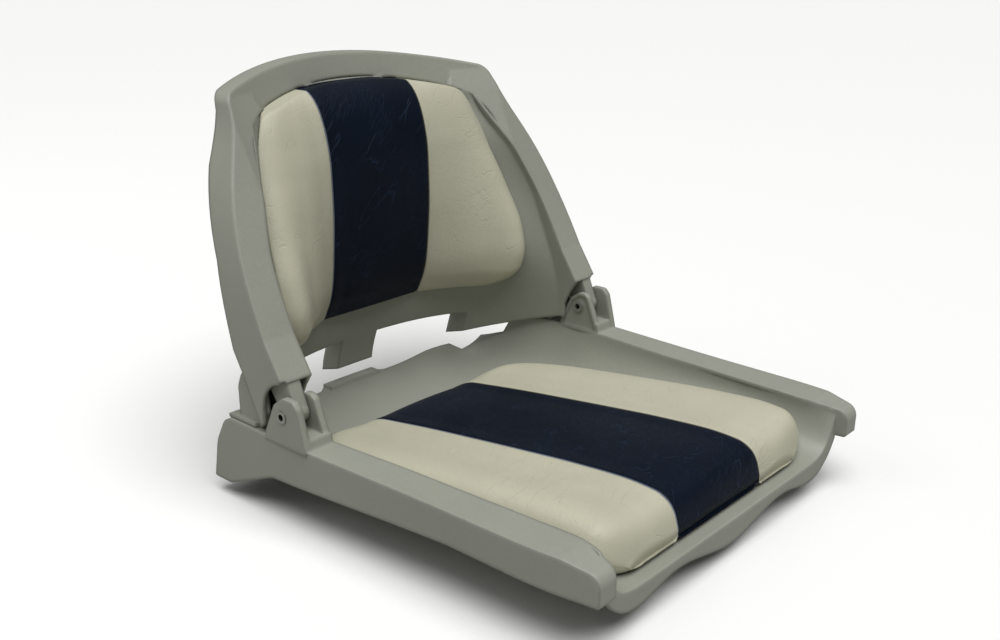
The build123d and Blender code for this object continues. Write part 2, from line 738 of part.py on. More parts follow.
def board_slab(plane, outline, low, high, radius):
    """A flat board with round corners on its plane."""
    (left, front), (right, rear) = outline
    with BuildPart() as board:
        with BuildSketch(plane.offset(low)):
            with Locations(((left + right) / 2, (front + rear) / 2)):
                RectangleRounded(right - left, rear - front, radius)
        extrude(amount=high - low)
    return board.part


def cover_panels(whole, name):
    """The cover cut at its seams into three panels, each saved as its own node."""
    reach = 2 * back_height
    for place, low, high in (
        ("left", -half, -seam_out), ("centre", -seam_out, seam_out), ("right", seam_out, half),
    ):
        with BuildPart() as panel:
            add(whole)
            add(plan_slab([(low, -reach), (high, -reach), (high, reach), (low, reach)], -reach, reach),
                mode=Mode.INTERSECT)
        panel.part.label = f"{name}_{place}"
        export_step(panel.part, f"parts/{name}_{place}.step")


def save(piece, name):
    """Names a piece and writes its file."""
    piece.label = name
    export_step(piece, f"parts/{name}.step")


seat_outline = ((-seat_board_half, seat_board_front), (seat_board_half, seat_board_rear))
seat_board_body = board_slab(seat_plane, seat_outline, skin, skin + seat_board_thickness, board_round)
seat_whole = seat_pad(0)
seat_inner = seat_pad(skin)
seat_opening = board_slab(
    seat_plane,
    ((-seat_board_half + hem, seat_board_front + hem), (seat_board_half - hem, seat_board_rear - hem)),
    -overrun, skin, board_round)

# Staples through the hem into the board
side_places = [seat_board_front + hem + staple_pitch * step for step in range(8)]
end_places = [staple_pitch * (step - 2.5) for step in range(6)]
side_out = seat_board_half - hem / 2
staple_spots = [(side * side_out, place, 90) for side in (-1, 1) for place in side_places]
staple_spots += [(place, y, 0) for place in end_places
                 for y in (seat_board_front + hem / 2, seat_board_rear - hem / 2)]
with BuildPart() as staples:
    for x, y, turn in staple_spots:
        with BuildSketch(seat_plane.offset(-staple_wire)):
            with Locations(Location((x, y, 0), (0, 0, turn))):
                Rectangle(staple_width, staple_wire)
        extrude(amount=staple_wire)
        with BuildSketch(seat_plane):
            with Locations(Location((x, y, 0), (0, 0, turn))):
                with Locations((-(staple_width - staple_wire) / 2, 0), ((staple_width - staple_wire) / 2, 0)):
                    Rectangle(staple_wire, staple_wire)
        extrude(amount=skin + staple_leg)
save(staples.part, "seat_staples")

with BuildPart() as seat_board:
    add(seat_board_body)
    add(rods(seat_plane, seat_spots, tee_barrel_radius, 0, 2 * seat_board_thickness), mode=Mode.SUBTRACT)
    add(staples.part, mode=Mode.SUBTRACT)
save(seat_board.part, "seat_board")
with BuildPart() as seat_foam:
    add(seat_inner)
    add(seat_board_body, mode=Mode.SUBTRACT)
    add(rods(seat_plane, seat_spots, tee_flange_radius, 0, skin + seat_board_thickness + 2 * tee_flange),
        mode=Mode.SUBTRACT)
save(seat_foam.part, "seat_foam")
with BuildPart() as seat_cover:
    add(seat_whole)
    add(seat_inner, mode=Mode.SUBTRACT)
    add(seat_opening, mode=Mode.SUBTRACT)
    add(staples.part, mode=Mode.SUBTRACT)
cover_panels(seat_cover.part, "seat_cover")

back_outline = ((-back_board_half, 0), (back_board_half, back_board_length))
back_board_body = board_slab(back_plane, back_outline, 0, back_board_thickness, board_round)
back_whole = back_pad(0)
back_inner = back_pad(skin)
boss_room = rods(back_plane, back_spots, stand_off_radius + seat_gap, -2 * back_boss_drop, 0)
with BuildPart() as back_board:
    add(back_board_body)
    add(rods(back_plane, back_spots, tee_barrel_radius, 0, back_board_thickness), mode=Mode.SUBTRACT)
save(back_board.part, "back_board")
with BuildPart() as back_foam:
    add(back_inner)
    add(back_board_body, mode=Mode.SUBTRACT)
    add(boss_room, mode=Mode.SUBTRACT)
    add(rods(back_plane, back_spots, tee_flange_radius, 0, back_board_thickness + 2 * tee_flange),
        mode=Mode.SUBTRACT)
save(back_foam.part, "back_foam")
with BuildPart() as back_cover:
    add(back_whole)
    add(back_inner, mode=Mode.SUBTRACT)
    add(boss_room, mode=Mode.SUBTRACT)
cover_panels(back_cover.part, "back_cover")

# Fixings of both cushions
for name, plane, spots, drop, low, rise in (
    ("seat", seat_plane, seat_spots, seat_boss_drop, skin, skin + seat_board_thickness),
    ("back", back_plane, back_spots, back_boss_drop, 0, back_board_thickness),
):
    save(screws(plane, spots, drop, rise), f"{name}_screws")
    save(rods(plane, spots, washer_radius, -drop - washer_thickness, -drop, screw_radius + press_clearance),
         f"{name}_washers")
    save(tee_nuts(plane, spots, low, rise), f"{name}_tee_nuts")

# Threaded inserts for the pedestal's bolts
with BuildPart() as inserts:
    with BuildSketch():
        with Locations(*bolt_spots):
            Circle(insert_radius)
            Circle(insert_bore_radius, mode=Mode.SUBTRACT)
    extrude(amount=insert_length)
save(inserts.part, "pedestal_inserts")

# Hollow hinge rivets with rolled ends
for name, side in (("left", -1), ("right", 1)):
    with BuildPart() as rivet:
        add(drum(pin_radius, side * (ear_inner - pin_head), side * (ear_outer + pin_head)))
        for start in (ear_inner - pin_head, ear_outer):
            add(drum(pin_head_radius, side * start, side * (start + pin_head)))
        add(drum(pin_bore_radius, side * (ear_inner - overrun), side * (ear_outer + overrun)),
            mode=Mode.SUBTRACT)
    save(rivet.part, f"hinge_pin_{name}")
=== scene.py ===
import math

import bmesh
import bpy
import numpy as np
from bpy.props import FloatProperty, FloatVectorProperty, IntProperty, PointerProperty
from mathutils import Matrix, Vector
from mathutils.bvhtree import BVHTree


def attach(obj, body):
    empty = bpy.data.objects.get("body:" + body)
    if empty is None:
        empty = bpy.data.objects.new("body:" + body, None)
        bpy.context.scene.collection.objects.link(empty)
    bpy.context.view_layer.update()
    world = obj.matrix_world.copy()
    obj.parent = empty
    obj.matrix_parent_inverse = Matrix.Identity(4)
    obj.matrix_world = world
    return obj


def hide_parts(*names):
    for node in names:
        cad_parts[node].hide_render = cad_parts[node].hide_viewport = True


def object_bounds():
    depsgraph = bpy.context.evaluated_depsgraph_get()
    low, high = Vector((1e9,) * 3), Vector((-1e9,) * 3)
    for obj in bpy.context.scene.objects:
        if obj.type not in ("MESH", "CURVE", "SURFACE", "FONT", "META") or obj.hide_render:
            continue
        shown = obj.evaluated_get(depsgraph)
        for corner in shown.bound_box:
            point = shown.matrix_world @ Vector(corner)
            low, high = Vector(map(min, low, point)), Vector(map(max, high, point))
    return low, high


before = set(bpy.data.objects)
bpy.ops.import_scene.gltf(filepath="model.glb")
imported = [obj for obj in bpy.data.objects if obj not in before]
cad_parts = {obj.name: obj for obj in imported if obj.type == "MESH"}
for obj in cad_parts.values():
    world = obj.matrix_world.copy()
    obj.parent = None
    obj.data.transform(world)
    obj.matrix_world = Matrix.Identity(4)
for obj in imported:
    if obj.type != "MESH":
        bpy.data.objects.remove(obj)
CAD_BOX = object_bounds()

bl_info = {
    "name": "Folding Boat Seat",
    "version": (1, 0, 0),
    "blender": (4, 5, 0),
    "location": "View3D > Sidebar > Boat Seat",
    "description": "Dresses the packed parts of a folding boat seat and lights them",
    "category": "Object",
}

MM = 0.001


def linear(hex_colour):
    """The linear red, green and blue of an sRGB hex colour."""
    parts = [int(hex_colour[place:place + 2], 16) / 255 for place in (0, 2, 4)]
    return tuple(part / 12.92 if part <= 0.04045 else ((part + 0.055) / 1.055) ** 2.4 for part in parts)


def opaque(colour):
    """A colour with full alpha."""
    return (*colour, 1.0)


# Settings


class ShellSettings(bpy.types.PropertyGroup):
    """Finish of the two moulded shells."""
    colour: FloatVectorProperty(
        name="Shell colour", description="Moulded-in colour of both shells",
        subtype="COLOR", default=linear("8F9186"), min=0, max=1)
    grain: FloatProperty(
        name="Mould grain", description="Width of one pebble of the mould's grain",
        unit="LENGTH", default=1.1 * MM)
    edge: FloatProperty(
        name="Edge round", description="Radius that moulded edges catch the light with",
        unit="LENGTH", default=5.5 * MM)
    roughness: FloatProperty(
        name="Roughness", description="Roughness of the moulded skin",
        subtype="FACTOR", default=0.46, min=0, max=1)


class VinylSettings(bpy.types.PropertyGroup):
    """Finish of the cushion covers."""
    side_colour: FloatVectorProperty(
        name="Side panels", description="Colour of the outer panels",
        subtype="COLOR", default=linear("B7B5A1"), min=0, max=1)
    middle_colour: FloatVectorProperty(
        name="Middle panels", description="Colour of the middle panels",
        subtype="COLOR", default=linear("08111F"), min=0, max=1)
    grain: FloatProperty(
        name="Leather grain", description="Width of one cell of the embossed grain",
        unit="LENGTH", default=1.3 * MM)
    crease: FloatProperty(
        name="Crease spacing", description="Distance between the cover's faint creases",
        unit="LENGTH", default=22 * MM)
    roughness: FloatProperty(
        name="Roughness", description="Roughness of the vinyl's skin",
        subtype="FACTOR", default=0.42, min=0, max=1)
    # Width of the painted highlight and painted shadow along a seam, to one side
    painted_line_width: FloatProperty(
        name="Painted seam line", description="Width of a seam's line, to one side", unit="LENGTH", default=1.3 * MM)


class SeatCushionSettings(bpy.types.PropertyGroup):
    """Sizes of the seat cushion, on its sloping base."""
    length: FloatProperty(
        name="Length", description="Front to rear, along the base", unit="LENGTH", default=421 * MM)
    half_width: FloatProperty(
        name="Half width", description="Middle to side", unit="LENGTH", default=188 * MM)
    height: FloatProperty(
        name="Height", description="Base to crown at the thickest place", unit="LENGTH", default=48 * MM)
    front: FloatProperty(
        name="Front", description="Y of the base's front edge", unit="LENGTH", default=-275 * MM)
    lift: FloatProperty(
        name="Lift", description="Z of the base's front edge", unit="LENGTH", default=42.9 * MM)
    slope: FloatProperty(
        name="Slope", description="Drop toward the rear, as a share of length",
        subtype="FACTOR", default=0.045)
    tuck: FloatProperty(
        name="Tuck", description="How far the sides draw in at the base", unit="LENGTH", default=14 * MM)


class BackCushionSettings(bpy.types.PropertyGroup):
    """Sizes of the back cushion, and of the opening in the shell's rim that it fills."""
    height: FloatProperty(
        name="Back height", description="Height of the whole seat, which the heights are shares of",
        unit="LENGTH", default=434 * MM)
    half_width: FloatProperty(
        name="Half width", description="Half the seat's width, which the sides are shares of",
        unit="LENGTH", default=254 * MM)
    reach: FloatProperty(
        name="Reach", description="Pedestal's middle to the back's rear, which depths are shares of",
        unit="LENGTH", default=280 * MM)
    bulge: FloatProperty(
        name="Bulge", description="How far the side panels swell", unit="LENGTH", default=11 * MM)
    tuck: FloatProperty(
        name="Tuck", description="How far the sides draw in at the shell", unit="LENGTH", default=3 * MM)
    arch_top: FloatProperty(
        name="Arch top", description="Height of the rim's opening in the middle",
        unit="LENGTH", default=407 * MM)
    arch_corner_out: FloatProperty(
        name="Arch corner", description="Distance of the opening's corners from the middle",
        unit="LENGTH", default=157 * MM)
    arch_corner: FloatProperty(
        name="Arch corner height", description="Height of the opening at its corners",
        unit="LENGTH", default=383.1 * MM)
    arch_round: FloatProperty(
        name="Arch round", description="Width over which the opening's corners are rounded",
        unit="LENGTH", default=17 * MM)


class CrestWebSettings(bpy.types.PropertyGroup):
    """Sizes of the web that joins the back shell's sheet to its rim, under the middle of the crest."""
    half_length: FloatProperty(
        name="Half length", description="Middle to each end", unit="LENGTH", default=58 * MM)
    foot: FloatProperty(
        name="Foot", description="Y of the crest's front face, carried down to the floor",
        unit="LENGTH", default=45 * MM)
    lean: FloatProperty(
        name="Lean", description="How far the crest leans back for its height",
        subtype="FACTOR", default=0.52)
    wrap: FloatProperty(
        name="Wrap", description="How far the crest's ends come forward at the seat's sides",
        unit="LENGTH", default=85 * MM)
    low: FloatProperty(
        name="Low edge", description="Height of its low edge in the middle",
        unit="LENGTH", default=396 * MM)
    low_rise: FloatProperty(
        name="Low edge rise", description="Rise of the low edge at both ends",
        unit="LENGTH", default=9 * MM)
    sunk: FloatProperty(
        name="Sunk", description="Distance behind the crest's front face",
        unit="LENGTH", default=0.5 * MM)
    wall: FloatProperty(name="Wall", description="Thickness", unit="LENGTH", default=3 * MM)
    overlap: FloatProperty(
        name="Overlap", description="How far it runs up inside the rim", unit="LENGTH", default=2.5 * MM)


class SewingSettings(bpy.types.PropertyGroup):
    """How both cushions are sewn and filled."""
    seam_out: FloatProperty(
        name="Seam place", description="Distance of each seam from the middle",
        unit="LENGTH", default=75 * MM)
    seam_depth: FloatProperty(
        name="Seam depth", description="Depth of the valley along a seam",
        unit="LENGTH", default=2.0 * MM)
    seam_roll: FloatProperty(
        name="Seam roll", description="Width over which a panel turns down into a seam",
        unit="LENGTH", default=5 * MM)
    seam_gap: FloatProperty(
        name="Seam gap", description="Half the gap between two panels in a seam",
        unit="LENGTH", default=0.15 * MM)
    crown: FloatProperty(
        name="Crown", description="Rise of the middle panel between its seams",
        unit="LENGTH", default=2 * MM)
    clearance: FloatProperty(
        name="Clearance", description="Distance that a cushion stays off its shell",
        unit="LENGTH", default=0.4 * MM)
    cell: FloatProperty(
        name="Cell", description="Spacing of a panel's rows and columns before it is subdivided",
        unit="LENGTH", default=4 * MM)
    slack: FloatProperty(
        name="Slack", description="How much smaller a panel starts before it is filled",
        unit="LENGTH", default=2 * MM)
    swell: FloatProperty(
        name="Swell", description="Most that filling moves a point of a panel",
        unit="LENGTH", default=3.5 * MM)
    pressure: FloatProperty(
        name="Pressure", description="Pressure of the filling in the simulation", default=4.0)
    steps: IntProperty(
        name="Steps", description="Frames that the filling is simulated for", default=20)


class StudioSettings(bpy.types.PropertyGroup):
    """Floor and light."""
    floor_colour: FloatVectorProperty(
        name="Floor", description="Colour of the floor",
        subtype="COLOR", default=linear("EEEEEC"), min=0, max=1)
    bounce_colour: FloatVectorProperty(
        name="Bounce", description="Colour of the light that the floor sends back",
        subtype="COLOR", default=linear("A6A6A2"), min=0, max=1)
    floor_reach: FloatProperty(
        name="Floor reach", description="Middle of the floor to each side", unit="LENGTH", default=12.0)
    sky: FloatProperty(
        name="Ambient", description="Strength of the even light from all round", default=0.19)
    backdrop: FloatProperty(
        name="Backdrop", description="Brightness of the room behind the floor", default=0.97)
    ceiling: FloatProperty(
        name="Ceiling", description="Strength of the wide light overhead", default=3.1)
    ceiling_place: FloatVectorProperty(
        name="Ceiling place", description="Where the wide light comes from",
        subtype="XYZ", unit="LENGTH", default=(-0.25, -0.55, 2.0))
    ceiling_spread: FloatProperty(
        name="Ceiling spread", description="Angle that the wide light fills",
        subtype="ANGLE", unit="ROTATION", default=math.radians(55))
    glow: FloatProperty(
        name="Glow", description="Power of the lamp behind and to the left, which the tops reflect",
        unit="POWER", default=8.0)
    glow_place: FloatVectorProperty(
        name="Glow place", description="Where that lamp hangs",
        subtype="XYZ", unit="LENGTH", default=(-1.5, 1.3, 1.7))
    glow_width: FloatProperty(
        name="Glow width", description="Diameter of that lamp", unit="LENGTH", default=1.8)


SETTINGS = {
    "boat_seat_shell": ShellSettings,
    "boat_seat_vinyl": VinylSettings,
    "boat_seat_cushion": SeatCushionSettings,
    "boat_seat_back_cushion": BackCushionSettings,
    "boat_seat_crest_web": CrestWebSettings,
    "boat_seat_sewing": SewingSettings,
    "boat_seat_studio": StudioSettings,
}


def scene_settings(name):
    """The scene's settings under a name."""
    return getattr(bpy.context.scene, name)


# Materials


# Shell: the melt's flow marks and mottle, and the depth of the mould's pebbles
FLOW_LENGTH, MOTTLE_WIDTH, PEBBLE_DEPTH = 90 * MM, 3 * MM, 0.12 * MM
# Covers: the patches that have long creases, fine ones and another tone, and the depth of creases and grain
CREASE_PATCH, CRUMPLE_PATCH, TONE_PATCH = 50 * MM, 70 * MM, 60 * MM
CREASE_DEPTH, GROOVE_DEPTH = 0.6 * MM, 0.15 * MM
# Lines on metal are finer than these, which are drawn as coarse as they need to show
ROLLED_LINE, PRESSED_LINE, TURNED_LINE, LINE_DEPTH = 0.5 * MM, 0.6 * MM, 0.5 * MM, 0.05 * MM
# Wood and paper
WOOD_FIBRE, WOOD_FIBRE_DEPTH, PAPER_FIBRE = 2.5 * MM, 0.1 * MM, 2.5 * MM

# How each colour of cover looks. A seam line of painted light or shade is the side of its seam, its
# colour and how much of it shows
BEIGE_LOOK = {
    "gloss": 0.35, "tone": 0.03, "turn": -0.12, "crumple": 0.4,
    # Painted shade in the creases
    "crease_depth": 0.42, "crease_colour": "8E8B76", "crease_tint": 0.12,
    # Painted shadow along the right seam
    "threads": ((1, "23241F", 0.85),),
}
NAVY_LOOK = {
    "gloss": 0.1, "tone": 0.12, "turn": -0.7, "crumple": 0.35,
    # A painted sheen along the creases
    "crease_depth": 0.7, "crease_colour": "2C3F5C", "crease_tint": 0.24,
    # A painted highlight along the left seam, and painted shadow along the right one
    "threads": ((-1, "8F98A6", 0.9), (1, "020305", 0.95)),
}


def add_node(tree, kind, values=None, links=None, **options):
    """Adds a node to a tree with its options, its input values and the outputs that feed its inputs."""
    made = tree.nodes.new(kind)
    for name, option in options.items():
        setattr(made, name, option)
    for name, number in (values or {}).items():
        made.inputs[name].default_value = number
    for name, source in (links or {}).items():
        tree.links.new(source, made.inputs[name])
    return made


def new_material(name, values):
    """A material with one surface shader: the material, its tree and that shader."""
    material = bpy.data.materials.new(name)
    material.use_nodes = True
    tree = material.node_tree
    tree.nodes.clear()
    shader = add_node(tree, "ShaderNodeBsdfPrincipled", values)
    add_node(tree, "ShaderNodeOutputMaterial", links={"Surface": shader.outputs["BSDF"]})
    return material, tree, shader


def moulded_plastic(settings):
    """High-impact ABS, injection moulded in a spark-eroded mould.

    The mould's pebble grain breaks the gloss into a satin sheen, and rounded edges catch a soft line of
    light. The real pebbles are finer, and are drawn as coarse as they need to show.
    """
    material, tree, shader = new_material(
        "Moulded ABS, satin grain", {"Roughness": settings.roughness, "IOR": 1.53})
    place = add_node(tree, "ShaderNodeTexCoord").outputs["Object"]
    pebbles = add_node(
        tree, "ShaderNodeTexNoise", {"Scale": 1 / settings.grain, "Detail": 2.0, "Roughness": 0.55},
        {"Vector": place})
    # Flow marks are decimetres long and hardly darker than the rest
    flow = add_node(
        tree, "ShaderNodeTexNoise", {"Scale": 1 / FLOW_LENGTH, "Detail": 3.0, "Roughness": 0.5},
        {"Vector": place})
    mottle = add_node(
        tree, "ShaderNodeTexNoise", {"Scale": 1 / MOTTLE_WIDTH, "Detail": 3.0, "Roughness": 0.6},
        {"Vector": place})
    shade = add_node(
        tree, "ShaderNodeMath", None, {0: flow.outputs["Fac"], 1: mottle.outputs["Fac"]}, operation="ADD")
    tint = add_node(
        tree, "ShaderNodeMapRange", {"From Min": 0.6, "From Max": 1.4, "To Min": 0.93, "To Max": 1.07},
        {"Value": shade.outputs[0]})
    colour = add_node(
        tree, "ShaderNodeMix", {0: 1.0, 6: opaque(settings.colour)}, {7: tint.outputs[0]},
        data_type="RGBA", blend_type="MULTIPLY")
    tree.links.new(colour.outputs[2], shader.inputs["Base Color"])
    gloss = add_node(
        tree, "ShaderNodeMapRange",
        {"From Min": 0.3, "From Max": 0.7,
         "To Min": settings.roughness - 0.05, "To Max": settings.roughness + 0.06},
        {"Value": mottle.outputs["Fac"]})
    tree.links.new(gloss.outputs[0], shader.inputs["Roughness"])
    edge = add_node(tree, "ShaderNodeBevel", {"Radius": settings.edge}, samples=8)
    relief = add_node(
        tree, "ShaderNodeBump", {"Strength": 0.35, "Distance": PEBBLE_DEPTH},
        {"Height": pebbles.outputs["Fac"], "Normal": edge.outputs["Normal"]})
    tree.links.new(relief.outputs["Normal"], shader.inputs["Normal"])
    return material


def creases(tree, place, spacing, stretch, turn, width, patch, bare, full):
    """Thin wavering lines about one spacing apart, drawn out along a turned direction, in soft patches.

    The patches are a noise. They have no lines where it is below the bare level, and all of them above the
    full one.
    """
    drawn = add_node(
        tree, "ShaderNodeMapping", {"Rotation": turn, "Scale": (stretch, 1.0, 1.0)}, {"Vector": place},
        vector_type="TEXTURE")
    waver = add_node(
        tree, "ShaderNodeTexNoise",
        {"Scale": 1 / spacing, "Detail": 2.0, "Roughness": 0.45, "Distortion": 0.25},
        {"Vector": drawn.outputs["Vector"]})
    middle = add_node(tree, "ShaderNodeMath", {1: 0.5}, {0: waver.outputs["Fac"]}, operation="SUBTRACT")
    fold = add_node(tree, "ShaderNodeMath", None, {0: middle.outputs[0]}, operation="ABSOLUTE")
    line = add_node(
        tree, "ShaderNodeMapRange", {"From Min": 0.0, "From Max": width, "To Min": 1.0, "To Max": 0.0},
        {"Value": fold.outputs[0]}, interpolation_type="SMOOTHSTEP")
    patches = add_node(tree, "ShaderNodeTexNoise", {"Scale": 1 / patch, "Detail": 1.0}, {"Vector": place})
    where = add_node(
        tree, "ShaderNodeMapRange", {"From Min": bare, "From Max": full, "To Min": 0.0, "To Max": 1.0},
        {"Value": patches.outputs["Fac"]}, interpolation_type="SMOOTHSTEP")
    kept = add_node(
        tree, "ShaderNodeMath", None, {0: line.outputs[0], 1: where.outputs[0]}, operation="MULTIPLY")
    return kept.outputs[0]


def marine_vinyl(name, colour, settings, seam_out, look):
    """Marine vinyl on a knitted backing, calendered and embossed with a leather grain.

    The grain softens its gloss, and the stretched skin has fine creases that catch the light along their
    lips. Their colour is painted light: painted shade in the beige's creases, a painted sheen on the navy's.
    """
    material, tree, shader = new_material(
        name, {"Roughness": settings.roughness, "IOR": 1.5, "Specular IOR Level": look["gloss"]})
    place = add_node(tree, "ShaderNodeTexCoord").outputs["Object"]
    grain = add_node(
        tree, "ShaderNodeTexVoronoi", {"Scale": 1 / settings.grain, "Randomness": 1.0}, {"Vector": place},
        feature="DISTANCE_TO_EDGE")
    grooves = add_node(
        tree, "ShaderNodeMapRange", {"From Min": 0.0, "From Max": 0.12, "To Min": 0.0, "To Max": 1.0},
        {"Value": grain.outputs["Distance"]})
    long_creases = creases(
        tree, place, spacing=settings.crease, stretch=4.5, turn=(0, look["turn"], 0.35), width=0.014,
        patch=CREASE_PATCH, bare=0.44, full=0.6)
    crumple = creases(
        tree, place, spacing=settings.crease / 4, stretch=7, turn=(0.1, 1.15 * look["turn"], 0.45),
        width=0.045, patch=CRUMPLE_PATCH, bare=0.4, full=0.58)
    fainter = add_node(tree, "ShaderNodeMath", {1: look["crumple"]}, {0: crumple}, operation="MULTIPLY")
    folds = add_node(
        tree, "ShaderNodeMath", None, {0: long_creases, 1: fainter.outputs[0]}, operation="MAXIMUM")
    tone = add_node(tree, "ShaderNodeTexNoise", {"Scale": 1 / TONE_PATCH, "Detail": 3.0}, {"Vector": place})
    tint = add_node(
        tree, "ShaderNodeMapRange",
        {"From Min": 0.3, "From Max": 0.7, "To Min": 1 - look["tone"], "To Max": 1 + look["tone"]},
        {"Value": tone.outputs["Fac"]})
    dyed = add_node(
        tree, "ShaderNodeMix", {0: 1.0, 6: opaque(colour)}, {7: tint.outputs[0]},
        data_type="RGBA", blend_type="MULTIPLY")
    # Painted light on the creases: painted shade on the beige, a painted sheen on the navy
    lips = add_node(
        tree, "ShaderNodeMath", {1: look["crease_tint"]}, {0: folds.outputs[0]}, operation="MULTIPLY")
    with_painted_crease_light = add_node(
        tree, "ShaderNodeMix", {7: opaque(linear(look["crease_colour"]))},
        {0: lips.outputs[0], 6: dyed.outputs[2]}, data_type="RGBA")
    # Painted seam lines: a pale painted highlight along the navy's edge at the left seam, and painted
    # shadow along the right seam on both colours
    out = add_node(tree, "ShaderNodeSeparateXYZ", None, {"Vector": place}).outputs["X"]
    painted = with_painted_crease_light.outputs[2]
    for side, shade, share in look["threads"]:
        away = add_node(tree, "ShaderNodeMath", {1: -side * seam_out}, {0: out}, operation="ADD")
        near = add_node(tree, "ShaderNodeMath", None, {0: away.outputs[0]}, operation="ABSOLUTE")
        band = add_node(
            tree, "ShaderNodeMapRange",
            {"From Min": 0.35 * settings.painted_line_width, "From Max": settings.painted_line_width, "To Min": share, "To Max": 0.0},
            {"Value": near.outputs[0]})
        painted = add_node(
            tree, "ShaderNodeMix", {7: opaque(linear(shade))}, {0: band.outputs[0], 6: painted},
            data_type="RGBA").outputs[2]
    tree.links.new(painted, shader.inputs["Base Color"])
    sheen = add_node(
        tree, "ShaderNodeMapRange",
        {"From Min": 0.0, "From Max": 1.0,
         "To Min": settings.roughness + 0.1, "To Max": settings.roughness - 0.04},
        {"Value": grooves.outputs[0]})
    tree.links.new(sheen.outputs[0], shader.inputs["Roughness"])
    crease = add_node(
        tree, "ShaderNodeBump", {"Strength": look["crease_depth"], "Distance": CREASE_DEPTH},
        {"Height": folds.outputs[0]}, invert=True)
    relief = add_node(
        tree, "ShaderNodeBump", {"Strength": 0.4, "Distance": GROOVE_DEPTH},
        {"Height": grooves.outputs[0], "Normal": crease.outputs["Normal"]})
    tree.links.new(relief.outputs["Normal"], shader.inputs["Normal"])
    return material


def vinyl_for(side):
    """The cover of a side or middle panel, made once."""
    name = "Marine vinyl, beige, embossed" if side else "Marine vinyl, navy, embossed"
    ready = bpy.data.materials.get(name)
    if ready:
        return ready
    vinyl, seam_out = scene_settings("boat_seat_vinyl"), scene_settings("boat_seat_sewing").seam_out
    if side:
        return marine_vinyl(name, vinyl.side_colour, vinyl, seam_out, BEIGE_LOOK)
    return marine_vinyl(name, vinyl.middle_colour, vinyl, seam_out, NAVY_LOOK)


def worked_metal(name, colour, roughness, line_width):
    """Stainless steel or brass, turned, rolled or pressed.

    The fine lines that the tool leaves spread its highlight into a soft streak.
    """
    material, tree, shader = new_material(
        name, {"Metallic": 1.0, "Roughness": roughness, "Base Color": opaque(colour)})
    place = add_node(tree, "ShaderNodeTexCoord").outputs["Object"]
    lines = add_node(tree, "ShaderNodeTexNoise", {"Scale": 1 / line_width, "Detail": 2.0}, {"Vector": place})
    spread = add_node(
        tree, "ShaderNodeMapRange",
        {"From Min": 0.3, "From Max": 0.7, "To Min": roughness - 0.08, "To Max": roughness + 0.1},
        {"Value": lines.outputs["Fac"]})
    tree.links.new(spread.outputs[0], shader.inputs["Roughness"])
    relief = add_node(
        tree, "ShaderNodeBump", {"Strength": 0.15, "Distance": LINE_DEPTH}, {"Height": lines.outputs["Fac"]})
    tree.links.new(relief.outputs["Normal"], shader.inputs["Normal"])
    return material


def sanded_plywood():
    """Birch plywood, sanded: long pale fibres, dull and unfinished."""
    material, tree, shader = new_material("Birch plywood, sanded", {"Roughness": 0.7, "IOR": 1.5})
    place = add_node(tree, "ShaderNodeTexCoord").outputs["Object"]
    drawn = add_node(tree, "ShaderNodeMapping", {"Scale": (1.0, 0.06, 1.0)}, {"Vector": place})
    fibres = add_node(
        tree, "ShaderNodeTexNoise", {"Scale": 1 / WOOD_FIBRE, "Detail": 4.0},
        {"Vector": drawn.outputs["Vector"]})
    wood = add_node(
        tree, "ShaderNodeMix", {6: opaque(linear("C9A877")), 7: opaque(linear("A88354"))},
        {0: fibres.outputs["Fac"]}, data_type="RGBA")
    tree.links.new(wood.outputs[2], shader.inputs["Base Color"])
    relief = add_node(
        tree, "ShaderNodeBump", {"Strength": 0.2, "Distance": WOOD_FIBRE_DEPTH},
        {"Height": fibres.outputs["Fac"]})
    tree.links.new(relief.outputs["Normal"], shader.inputs["Normal"])
    return material


def studio_paper(studio):
    """Matt paper, uncoated: its fibres give it a faint mottle.

    It shows pale, but sends less light back up, as when an object is photographed well above it.
    """
    material, tree, shader = new_material("Studio paper, matt", {"Roughness": 0.9})
    place = add_node(tree, "ShaderNodeTexCoord").outputs["Object"]
    fibre = add_node(tree, "ShaderNodeTexNoise", {"Scale": 1 / PAPER_FIBRE, "Detail": 2.0}, {"Vector": place})
    tint = add_node(
        tree, "ShaderNodeMapRange", {"To Min": 0.985, "To Max": 1.015}, {"Value": fibre.outputs["Fac"]})
    paper = add_node(
        tree, "ShaderNodeMix", {0: 1.0, 6: opaque(studio.floor_colour)}, {7: tint.outputs[0]},
        data_type="RGBA", blend_type="MULTIPLY")
    ray = add_node(tree, "ShaderNodeLightPath")
    seen = add_node(
        tree, "ShaderNodeMix", {6: opaque(studio.bounce_colour)},
        {0: ray.outputs["Is Camera Ray"], 7: paper.outputs[2]}, data_type="RGBA")
    tree.links.new(seen.outputs[2], shader.inputs["Base Color"])
    return material


def dress(material, *names):
    """Gives CAD nodes a material."""
    for name in names:
        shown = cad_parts[name]
        if not shown.material_slots:
            shown.data.materials.append(material)
        for held in shown.material_slots:
            held.material = material


# Cushion forms


# Columns over a seam's roll, as shares of it, the fewest columns of a panel, and the least share of their
# usual spacing that two are apart
ROLL_SHARES = (0, 0.12, 0.3, 0.55, 1)
FEWEST_COLUMNS = 4
LEAST_SPACING_SHARE = 0.3
# Girth of a side panel, from its seam to its far edge, which its columns are spread over
SEAT_GIRTH, BACK_GIRTH = 140 * MM, 105 * MM
# Points across a panel's base, and down the back cushion's edge as shares of its depth
BASE_POINTS = 10
EDGE_SHARES = np.array((0.35, 0.7, 1.0))
# Distance from a seam over which a panel gets its full slack, and over which the stitches hold it
SLACK_FADE, STITCH_FADE = 20 * MM, 12 * MM
# Rows at each end of a panel that the filling doesn't move
HELD_ROWS = 2
# Rays that look for the shells start this high, and half as far in front of the pedestal's middle
RAY_START = 1.0

